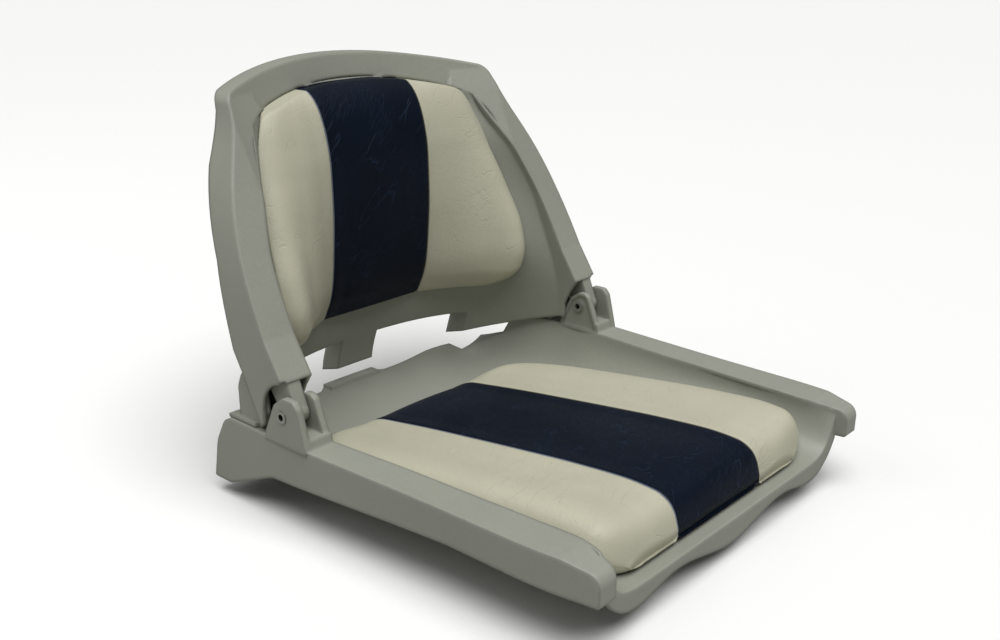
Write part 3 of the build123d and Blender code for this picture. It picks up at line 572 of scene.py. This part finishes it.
# A filled cover: how it resists stretch and folds, and its stitches
CLOTH = {
    "quality": 6, "mass": 0.3, "tension_stiffness": 18, "compression_stiffness": 18,
    "bending_stiffness": 0.6, "vertex_group_mass": "sewn", "use_pressure": True,
}
# A shorter move than this counts as none
LEAST_MOVE = 1e-9

# Seat cushion: share of the length, of the half width and of the height
SEAT_STATIONS = (
    (0, 0.80, 0.23), (0.0095, 0.883, 0.56), (0.026, 0.947, 0.78), (0.062, 0.99, 0.93), (0.145, 1, 0.985),
    (0.279, 1, 0.945), (0.443, 0.995, 0.845), (0.579, 0.99, 0.75), (0.743, 0.979, 0.627),
    (0.869, 0.947, 0.51), (0.938, 0.878, 0.435), (0.979, 0.80, 0.283), (1, 0.70, 0.125),
)
# Rows that turn its ends under: share of the length, and of the end station's width and height
FRONT_TURN_SHARES = ((0.008, 0.97, 0.1), (0.0025, 0.99, 0.5))
REAR_TURN_SHARES = ((0.999, 1, 0.5),)
# Outline of its side panel from the seam outward: share of the way out, of the tuck that it is drawn in by,
# of the height, and of the crown that it is raised by
SEAT_OUTLINE_SHARES = (
    (0.62, 0, 1, 0.5), (1, 0.5, 0.93, 0), (1, 0, 0.6, 0), (1, 0.3, 0.2, 0), (1, 1, 0, 0),
)
# Rise of its middle panel, as a share of the crown
SEAT_CROWN_SHARE = 1.5
# Its seams reach their depth at a third of its height. Above these shares of a section's height it has slack,
# and the filling moves it
SEAM_DEEPENING = 3
SLACK_FROM_SHARE, LOOSE_FROM_SHARE = 0.4, 0.25

# Back cushion: share of the height, of the half width, of the reach at the edge and at the seam, and of the
# bulge
BACK_STATIONS = (
    (0.320, 0.630, 0.643, 0.771, 0.2), (0.332, 0.677, 0.584, 0.757, 0.5), (0.355, 0.720, 0.528, 0.740, 0.75),
    (0.385, 0.741, 0.493, 0.719, 0.92), (0.43, 0.753, 0.484, 0.701, 1), (0.5, 0.756, 0.506, 0.689, 1),
    (0.62, 0.732, 0.586, 0.679, 1), (0.6935, 0.705, 0.636, 0.682, 1), (0.7465, 0.685, 0.675, 0.686, 1),
    (0.809, 0.657, 0.711, 0.7035, 0.9), (0.866, 0.614, 0.739, 0.734, 0.7), (0.903, 0.559, 0.768, 0.771, 0.5),
    (0.924, 0.492, 0.807, 0.814, 0.3), (0.9366, 0.394, 0.846, 0.868, 0.1),
)
# Its shoulder: share of a side panel's width in from its edge, and of the bulge there
SHOULDER_IN_SHARE, SHOULDER_BULGE_SHARE = 0.1, 0.8
# It gets its slack over this share of a side panel at the edge, and over so many rows at each end
EDGE_FADE_SHARE, END_FADE_ROWS = 0.15, 4
# Share of the way to the shell that its first and last rows sink
END_SINK_SHARE = 0.6
# Drop of the rim's rounded corners as a share of their round, and clearances under the rim at which rays pass
ARCH_DROP_SHARE = 0.3
ARCH_CLEARANCES = 4

PANELS = (("left", -1), ("centre", 0), ("right", 1))


def chords(points):
    """Distance along a line of points, up to each of them."""
    return np.concatenate(([0], np.cumsum(np.linalg.norm(np.diff(points, axis=0), axis=1))))


def blended(knots, values, tangents, places):
    """Values at the places asked for, on the cubic curve that has these values and tangents at its knots."""
    at = np.clip(np.searchsorted(knots, places) - 1, 0, len(knots) - 2)
    span = (knots[at + 1] - knots[at])[:, None]
    part = (places - knots[at])[:, None] / span
    square, cube = part**2, part**3
    return ((2 * cube - 3 * square + 1) * values[at] + (cube - 2 * square + part) * span * tangents[at]
            + (3 * square - 2 * cube) * values[at + 1] + (cube - square) * span * tangents[at + 1])


def eased(knots, values, places):
    """Values at the places asked for, on a smooth curve through the knots that never overshoots them."""
    slopes = np.diff(values, axis=0) / np.diff(knots)[:, None]
    before, after = slopes[:-1], slopes[1:]
    safe = np.where(before * after > 0, before + after, 1)
    inner = np.where(before * after > 0, 2 * before * after / safe, 0)
    return blended(knots, values, np.vstack((slopes[:1], inner, slopes[-1:])), places)


def smooth_line(points, shares):
    """Points at shares of the length of a smooth line through the given ones."""
    points = np.asarray(points, float)
    along = chords(points)
    return blended(along, points, np.gradient(points, along, axis=0), shares * along[-1])


def rows_of(stations, scale, cell):
    """The stations' values at rows about one cell apart, measured along the form."""
    stations = np.asarray(stations, float)
    along = chords(stations * np.asarray(scale))
    count = max(2, round(along[-1] / cell))
    return eased(along, stations, np.linspace(0, along[-1], count + 1))


def section_columns(side, sewing, width):
    """Shares of a panel's width for its columns, closer near seams, and how far each is from its seam."""
    fine = [share * sewing.seam_roll / width for share in ROLL_SHARES]
    count = max(FEWEST_COLUMNS, round(width / sewing.cell))
    least = LEAST_SPACING_SHARE / count
    high = 1 if side else 1 - fine[-1]
    shares = {share for share in np.linspace(0, 1, count + 1) if fine[-1] + least < share < high - least}
    shares.update(fine)
    shares.update([1] if side else [1 - share for share in fine])
    shares = np.array(sorted(shares))
    return shares, (shares if side else np.minimum(shares, 1 - shares)) * width


def seam_drop(gaps, sewing):
    """How far a panel's surface turns down at its distances from a seam, as a quarter round."""
    near = np.clip(1 - gaps / sewing.seam_roll, 0, 1)
    return sewing.seam_depth * (1 - np.sqrt(np.clip(1 - near**2, 0, 1)))


def part_seams(across, side, gap):
    """Draws the seam edges of a panel's section in, so that two panels don't touch."""
    towards = np.sign(across[-1, 0] - across[0, 0])
    across[0, 0] += towards * gap
    if not side:
        across[-1, 0] -= towards * gap


def seat_section(side, row, seat, sewing, shares):
    """Points across one panel of the seat cushion at one station, from its seam outward, out and up."""
    out, up = row[1] * seat.half_width, row[2] * seat.height
    seam_up = up - sewing.crown / 2
    if side:
        line = [(sewing.seam_out, seam_up)]
        line += [(reach * out - drawn * seat.tuck, high * up + raised * sewing.crown)
                 for reach, drawn, high, raised in SEAT_OUTLINE_SHARES]
        points = smooth_line(line, shares)
        points[:, 0] *= side
        return points
    across = (2 * shares - 1) * sewing.seam_out
    rise = seam_up + SEAT_CROWN_SHARE * sewing.crown * (1 - (across / sewing.seam_out) ** 2)
    return np.column_stack((across, rise))


def seat_panel(side, seat, sewing, surface):
    """Rings of one panel of the seat cushion, and which of their points are sewn or rest on the shell."""
    rows = rows_of(SEAT_STATIONS, (seat.length, seat.half_width / 2, seat.height), sewing.cell)
    front, rear = ([(place, wide * row[1], high * row[2]) for place, wide, high in turn]
                   for row, turn in ((rows[0], FRONT_TURN_SHARES), (rows[-1], REAR_TURN_SHARES)))
    rows = np.vstack((front, rows, rear))
    shares, gaps = section_columns(side, sewing, SEAT_GIRTH if side else 2 * sewing.seam_out)
    loose = np.clip(gaps / SLACK_FADE, 0, 1)
    tilt = math.hypot(1, seat.slope)
    back_way = np.array((0, 1, -seat.slope)) / tilt
    up_way = np.array((0, seat.slope, 1)) / tilt
    rings, fixed = [], []
    for number, row in enumerate(rows):
        across = seat_section(side, row, seat, sewing, shares)
        across[:, 1] -= seam_drop(gaps, sewing) * min(1, row[2] * SEAM_DEEPENING)
        across[:, 1] -= sewing.slack * loose * (across[:, 1] > SLACK_FROM_SHARE * row[2] * seat.height)
        part_seams(across, side, sewing.seam_gap)
        across[:, 1] = np.maximum(across[:, 1], 0)
        # A side panel's section already ends on the base, and the middle one's ends above it
        base_shares = np.linspace(0, 1, BASE_POINTS + 2)[1 if side else 0:]
        base_out = across[-1, 0] + (across[0, 0] - across[-1, 0]) * base_shares
        ring = np.vstack((across, np.column_stack((base_out, np.zeros(len(base_out))))))
        points = (np.array((0, seat.front, seat.lift)) + ring[:, :1] * np.array((1, 0, 0))
                  + row[0] * seat.length * back_way + ring[:, 1:] * up_way)
        for point in points:
            hit = surface.ray_cast(Vector((point[0], point[1], RAY_START)), Vector((0, 0, -1)))[0]
            if hit is not None:
                point[2] = max(point[2], hit.z + sewing.clearance)
        rings.append(points)
        held = np.ones(len(points))
        inner = slice(1, len(shares) - 1)
        if HELD_ROWS <= number < len(rows) - HELD_ROWS:
            held[inner] = np.where(across[inner, 1] > LOOSE_FROM_SHARE * row[2] * seat.height,
                                   np.clip(1 - gaps[inner] / STITCH_FADE, 0, 1), 1)
        fixed.append(held)
    return np.array(rings), np.array(fixed)


def back_section(side, row, back, sewing, shares):
    """Points across one panel of the back cushion at one height, from its seam outward, out and back."""
    out, edge_y, seam_y = row[1] * back.half_width, row[2] * back.reach, row[3] * back.reach
    bulge = row[4] * back.bulge
    if side:
        line = [(sewing.seam_out, seam_y), ((out + sewing.seam_out) / 2, (edge_y + seam_y) / 2 - bulge),
                (out - SHOULDER_IN_SHARE * (out - sewing.seam_out), edge_y - SHOULDER_BULGE_SHARE * bulge),
                (out, edge_y)]
        points = smooth_line(line, shares)
        points[:, 0] *= side
        return points
    across = (2 * shares - 1) * sewing.seam_out
    return np.column_stack((across, seam_y - sewing.crown * (1 - (across / sewing.seam_out) ** 2)))


def arch_height(out, back):
    """Height of the rim's opening at a distance from the middle, with its rounded corners."""
    drop = back.arch_top - back.arch_corner
    near = max(0.0, (abs(out) - back.arch_corner_out) / back.arch_round + 1)
    return (back.arch_top - drop * (out / back.arch_corner_out) ** 2
            - ARCH_DROP_SHARE * back.arch_round * near**2)


def shell_behind(surface, out, level, back, clearance):
    """Where the back cushion stops in front of its shell, or None where the shell is open."""
    seen = min(level, arch_height(out, back) - ARCH_CLEARANCES * clearance)
    hit = surface.ray_cast(Vector((out, -RAY_START / 2, seen)), Vector((0, 1, 0)))[0]
    return None if hit is None else hit.y - clearance


def back_panel(side, back, sewing, surface):
    """Rings of one panel of the back cushion, and which of their points are sewn or rest on the shell."""
    scale = (back.height, back.half_width / 2, back.reach / 2, back.reach / 2, 0)
    rows = rows_of(BACK_STATIONS, scale, sewing.cell)
    shares, gaps = section_columns(side, sewing, BACK_GIRTH if side else 2 * sewing.seam_out)
    loose = np.clip(gaps / SLACK_FADE, 0, 1)
    if side:
        loose = loose * np.clip((1 - shares) / EDGE_FADE_SHARE, 0, 1)
    last = len(rows) - 1
    rings, fixed = [], []
    for number, row in enumerate(rows):
        level = row[0] * back.height
        across = back_section(side, row, back, sewing, shares)
        across[:, 1] += seam_drop(gaps, sewing)
        across[:, 1] += sewing.slack * loose * min(1, number / END_FADE_ROWS, (last - number) / END_FADE_ROWS)
        part_seams(across, side, sewing.seam_gap)

        edge_out, edge_back = across[-1]
        rear_out = edge_out - side * back.tuck
        found = shell_behind(surface, rear_out, level, back, sewing.clearance)
        rear = edge_back if found is None else max(found, edge_back)
        wall = np.column_stack((edge_out + (rear_out - edge_out) * EDGE_SHARES,
                                edge_back + (rear - edge_back) * EDGE_SHARES))
        base = []
        for out in rear_out + (across[0, 0] - rear_out) * np.linspace(0, 1, BASE_POINTS + 2)[1:]:
            found = shell_behind(surface, out, level, back, sewing.clearance)
            base.append((out, rear if found is None else found))

        ring = np.vstack((across, wall, base))
        if number in (0, last):
            front = ring[:len(shares)]
            outs, depths = np.array(sorted((abs(out), depth) for out, depth in base)).T
            front[:, 1] += END_SINK_SHARE * (np.interp(np.abs(front[:, 0]), outs, depths) - front[:, 1])
        levels = [min(level, arch_height(out, back) - sewing.clearance) for out in ring[:, 0]]
        points = np.column_stack((ring, levels))
        for point in points[:len(shares)]:
            found = shell_behind(surface, point[0], level, back, sewing.clearance)
            if found is not None:
                point[1] = min(point[1], found)
        rings.append(points)
        held = np.ones(len(points))
        if HELD_ROWS <= number < len(rows) - HELD_ROWS:
            held[1:len(shares) - 1] = np.clip(1 - gaps[1:-1] / STITCH_FADE, 0, 1)
        fixed.append(held)
    return np.array(rings), np.array(fixed)


# Building


def shell_surface(node):
    """A search tree over a CAD node's faces."""
    shape = bmesh.new()
    shape.from_mesh(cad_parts[node].data)
    tree = BVHTree.FromBMesh(shape)
    shape.free()
    return tree


def panel_mesh(name, rings, fixed):
    """A closed panel from rings of points, and the group of points that the filling doesn't move."""
    rows, around = rings.shape[:2]
    faces = [(row * around + place, row * around + (place + 1) % around,
              (row + 1) * around + (place + 1) % around, (row + 1) * around + place)
             for row in range(rows - 1) for place in range(around)]
    faces.append(tuple(reversed(range(around))))
    faces.append(tuple(range((rows - 1) * around, rows * around)))
    mesh = bpy.data.meshes.new(name)
    mesh.from_pydata(rings.reshape(-1, 3).tolist(), [], faces)
    shape = bmesh.new()
    shape.from_mesh(mesh)
    bmesh.ops.recalc_face_normals(shape, faces=shape.faces)
    shape.to_mesh(mesh)
    shape.free()
    mesh.polygons.foreach_set("use_smooth", [True] * len(mesh.polygons))
    panel = bpy.data.objects.new(name, mesh)
    bpy.context.scene.collection.objects.link(panel)
    pins = panel.vertex_groups.new(name="sewn")
    for number, weight in enumerate(fixed.reshape(-1)):
        pins.add([number], float(weight), "REPLACE")
    return panel


def fill(panel, sewing):
    """Fills a panel by a cloth simulation under pressure, and keeps each point near its place."""
    start = np.array([point.co for point in panel.data.vertices])
    cloth = panel.modifiers.new("filling", "CLOTH")
    for name, value in CLOTH.items():
        setattr(cloth.settings, name, value)
    cloth.settings.uniform_pressure_force = sewing.pressure
    cloth.settings.effector_weights.gravity = 0
    cloth.point_cache.frame_start = 1
    cloth.point_cache.frame_end = sewing.steps
    scene = bpy.context.scene
    for step in range(1, sewing.steps + 1):
        scene.frame_set(step)
    swollen = panel.evaluated_get(bpy.context.evaluated_depsgraph_get())
    moved = np.array([point.co for point in swollen.data.vertices]) - start
    panel.modifiers.remove(cloth)
    scene.frame_set(1)
    far = np.linalg.norm(moved, axis=1, keepdims=True)
    held = start + moved * np.tanh(far / sewing.swell) * sewing.swell / np.maximum(far, LEAST_MOVE)
    panel.data.vertices.foreach_set("co", held.astype(np.float32).reshape(-1))
    panel.data.update()


def finish_panel(panel, body, node_names, material):
    """Subdivides a filled panel, gives it its cover and says what it stands for."""
    panel.data.materials.append(material)
    smooth = panel.modifiers.new("smooth", "SUBSURF")
    smooth.levels = 1
    smooth.render_levels = 1
    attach(panel, body)
    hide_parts(*node_names)


def sew_cushion(body, panel_rings, sizes):
    """Builds the three panels of the seat's or the back's cushion, fills them and covers them."""
    sewing = scene_settings("boat_seat_sewing")
    surface = shell_surface(f"{body}_shell")
    for place, side in PANELS:
        rings, fixed = panel_rings(side, sizes, sewing, surface)
        panel = panel_mesh(f"{body}_panel_{place}", rings, fixed)
        fill(panel, sewing)
        covers = [f"{body}_cover_{place}"] + ([] if side else [f"{body}_foam"])
        finish_panel(panel, body, covers, vinyl_for(side))


# Stage


# The paper lies this far under the part, so that the two don't share a plane
FLOOR_GAP = 0.2 * MM
# What the lamps point at
LAMP_AIM = (0, 0, 0.1)
# The photograph's view: its place, its turn from +Y, its dip and its roll, and its lens and film in mm
EYE_PLACE = (-0.8793, -0.7528, 0.5732)
EYE_TURN, EYE_DIP, EYE_ROLL = math.radians(49.05), math.radians(19.09), math.radians(0.792)
LENS_LENGTH, FILM_WIDTH = 40.9, 36.0


def lay_floor(studio):
    """Lays the paper that the seat stands on."""
    reach, low = studio.floor_reach, CAD_BOX[0][2] - FLOOR_GAP
    corners = [(-reach, -reach, low), (reach, -reach, low), (reach, reach, low), (-reach, reach, low)]
    floor_mesh = bpy.data.meshes.new("floor")
    floor_mesh.from_pydata(corners, [], [(0, 1, 2, 3)])
    floor = bpy.data.objects.new("floor", floor_mesh)
    floor.data.materials.append(studio_paper(studio))
    bpy.context.scene.collection.objects.link(floor)


def light_room(studio):
    """Lights the room evenly and hangs the lamps."""
    world = bpy.data.worlds.new("Studio")
    bpy.context.scene.world = world
    world.use_nodes = True
    sky = world.node_tree.nodes["Background"]
    sky.inputs["Color"].default_value = (1, 1, 1, 1)
    # The room beyond the paper looks as pale as the paper, and lights the seat only faintly
    ray = add_node(world.node_tree, "ShaderNodeLightPath")
    strength = add_node(
        world.node_tree, "ShaderNodeMapRange", {"To Min": studio.sky, "To Max": studio.backdrop},
        {"Value": ray.outputs["Is Camera Ray"]})
    world.node_tree.links.new(strength.outputs[0], sky.inputs["Strength"])

    ceiling = bpy.data.lights.new("ceiling", "SUN")
    ceiling.energy = studio.ceiling
    ceiling.angle = studio.ceiling_spread
    glow = bpy.data.lights.new("glow", "AREA")
    glow.shape = "DISK"
    glow.size = studio.glow_width
    glow.energy = studio.glow
    for lamp, place in ((ceiling, studio.ceiling_place), (glow, studio.glow_place)):
        held = bpy.data.objects.new(lamp.name, lamp)
        aim = (Vector(LAMP_AIM) - Vector(place)).to_track_quat("-Z", "Y")
        held.matrix_world = Matrix.Translation(place) @ aim.to_matrix().to_4x4()
        bpy.context.scene.collection.objects.link(held)


def set_camera():
    """Stands the camera where the photograph's stood."""
    forward = Vector((math.sin(EYE_TURN) * math.cos(EYE_DIP), math.cos(EYE_TURN) * math.cos(EYE_DIP),
                      -math.sin(EYE_DIP)))
    level = Vector((math.cos(EYE_TURN), -math.sin(EYE_TURN), 0))
    upward = Vector((math.sin(EYE_DIP) * math.sin(EYE_TURN), math.sin(EYE_DIP) * math.cos(EYE_TURN),
                     math.cos(EYE_DIP)))
    across = level * math.cos(EYE_ROLL) + upward * math.sin(EYE_ROLL)
    above = upward * math.cos(EYE_ROLL) - level * math.sin(EYE_ROLL)
    lens = bpy.data.cameras.new("photo view")
    lens.lens = LENS_LENGTH
    lens.sensor_width = FILM_WIDTH
    eye = bpy.data.objects.new("photo view", lens)
    turned = Matrix((across, above, -forward)).transposed().to_4x4()
    eye.matrix_world = Matrix.Translation(EYE_PLACE) @ turned
    bpy.context.scene.collection.objects.link(eye)
    bpy.context.scene.camera = eye


# Operators

# Points along the crest web
WEB_COLUMNS = 41


class BOATSEAT_OT_shells(bpy.types.Operator):
    """Gives the seat shell and the back shell their moulded plastic"""
    bl_idname = "boatseat.shells"
    bl_label = "Finish Shells"

    def execute(self, context):
        dress(moulded_plastic(scene_settings("boat_seat_shell")), "seat_shell", "back_shell")
        return {"FINISHED"}


class BOATSEAT_OT_crest_web(bpy.types.Operator):
    """Joins the back shell's sheet to its rim with a thin web under the crest"""
    bl_idname = "boatseat.crest_web"
    bl_label = "Build Crest Web"

    def execute(self, context):
        web, back = scene_settings("boat_seat_crest_web"), scene_settings("boat_seat_back_cushion")
        rings = []
        for place in np.linspace(-1, 1, WEB_COLUMNS):
            out = place * web.half_length
            low = web.low + web.low_rise * place**2
            high = arch_height(out, back) + web.overlap
            low_front, high_front = (
                web.foot + web.lean * level - web.wrap * (out / back.half_width) ** 2 + web.sunk
                for level in (low, high))
            rings.append([(out, low_front, low), (out, high_front, high),
                          (out, high_front + web.wall, high), (out, low_front + web.wall, low)])
        rings = np.array(rings)
        piece = panel_mesh("back_crest_web", rings, np.ones(rings.shape[:2]))
        piece.data.materials.append(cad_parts["back_shell"].material_slots[0].material)
        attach(piece, "back")
        return {"FINISHED"}


class BOATSEAT_OT_hardware(bpy.types.Operator):
    """Gives rivets, screws, washers, tee nuts, staples and inserts their metals, and the boards their wood"""
    bl_idname = "boatseat.hardware"
    bl_label = "Finish Hardware"

    def execute(self, context):
        dress(worked_metal("Stainless steel, rolled", linear("A9A9A4"), 0.34, ROLLED_LINE),
              "hinge_pin_left", "hinge_pin_right")
        dress(worked_metal("Stainless steel, pressed", linear("B4B4B0"), 0.3, PRESSED_LINE), "seat_screws",
              "seat_washers", "seat_tee_nuts", "seat_staples", "back_screws", "back_washers", "back_tee_nuts")
        dress(worked_metal("Brass, turned", linear("C8A45C"), 0.28, TURNED_LINE), "pedestal_inserts")
        dress(sanded_plywood(), "seat_board", "back_board")
        return {"FINISHED"}


class BOATSEAT_OT_seat_cushion(bpy.types.Operator):
    """Builds the seat cushion's three panels, fills them and covers them"""
    bl_idname = "boatseat.seat_cushion"
    bl_label = "Build Seat Cushion"

    def execute(self, context):
        sew_cushion("seat", seat_panel, scene_settings("boat_seat_cushion"))
        return {"FINISHED"}


class BOATSEAT_OT_back_cushion(bpy.types.Operator):
    """Builds the back cushion's three panels, fills them and covers them"""
    bl_idname = "boatseat.back_cushion"
    bl_label = "Build Back Cushion"

    def execute(self, context):
        sew_cushion("back", back_panel, scene_settings("boat_seat_back_cushion"))
        return {"FINISHED"}


class BOATSEAT_OT_studio(bpy.types.Operator):
    """Lays the floor, hangs the lamps and sets the camera"""
    bl_idname = "boatseat.studio"
    bl_label = "Set Up Studio"

    def execute(self, context):
        studio = scene_settings("boat_seat_studio")
        lay_floor(studio)
        light_room(studio)
        set_camera()
        context.scene.view_settings.view_transform = "Standard"
        return {"FINISHED"}


class BOATSEAT_PT_sidebar(bpy.types.Panel):
    """Lists the seat's steps and settings"""
    bl_label = "Boat Seat"
    bl_idname = "BOATSEAT_PT_sidebar"
    bl_space_type = "VIEW_3D"
    bl_region_type = "UI"
    bl_category = "Boat Seat"

    def draw(self, context):
        for step in OPERATORS:
            self.layout.operator(step.bl_idname)
        for name, group in SETTINGS.items():
            box = self.layout.box()
            for value in group.__annotations__:
                box.prop(getattr(context.scene, name), value)


OPERATORS = (BOATSEAT_OT_shells, BOATSEAT_OT_crest_web, BOATSEAT_OT_hardware, BOATSEAT_OT_seat_cushion,
             BOATSEAT_OT_back_cushion, BOATSEAT_OT_studio)


def register():
    for group in SETTINGS.values():
        bpy.utils.register_class(group)
    for name, group in SETTINGS.items():
        setattr(bpy.types.Scene, name, PointerProperty(type=group))
    for step in OPERATORS:
        bpy.utils.register_class(step)
    bpy.utils.register_class(BOATSEAT_PT_sidebar)


def unregister():
    bpy.utils.unregister_class(BOATSEAT_PT_sidebar)
    for step in reversed(OPERATORS):
        bpy.utils.unregister_class(step)
    for name in SETTINGS:
        delattr(bpy.types.Scene, name)
    for group in reversed(tuple(SETTINGS.values())):
        bpy.utils.unregister_class(group)


def main():
    register()
    bpy.ops.boatseat.shells()
    bpy.ops.boatseat.crest_web()
    bpy.ops.boatseat.hardware()
    bpy.ops.boatseat.seat_cushion()
    bpy.ops.boatseat.back_cushion()
    bpy.ops.boatseat.studio()


if __name__ == "__main__":
    main()
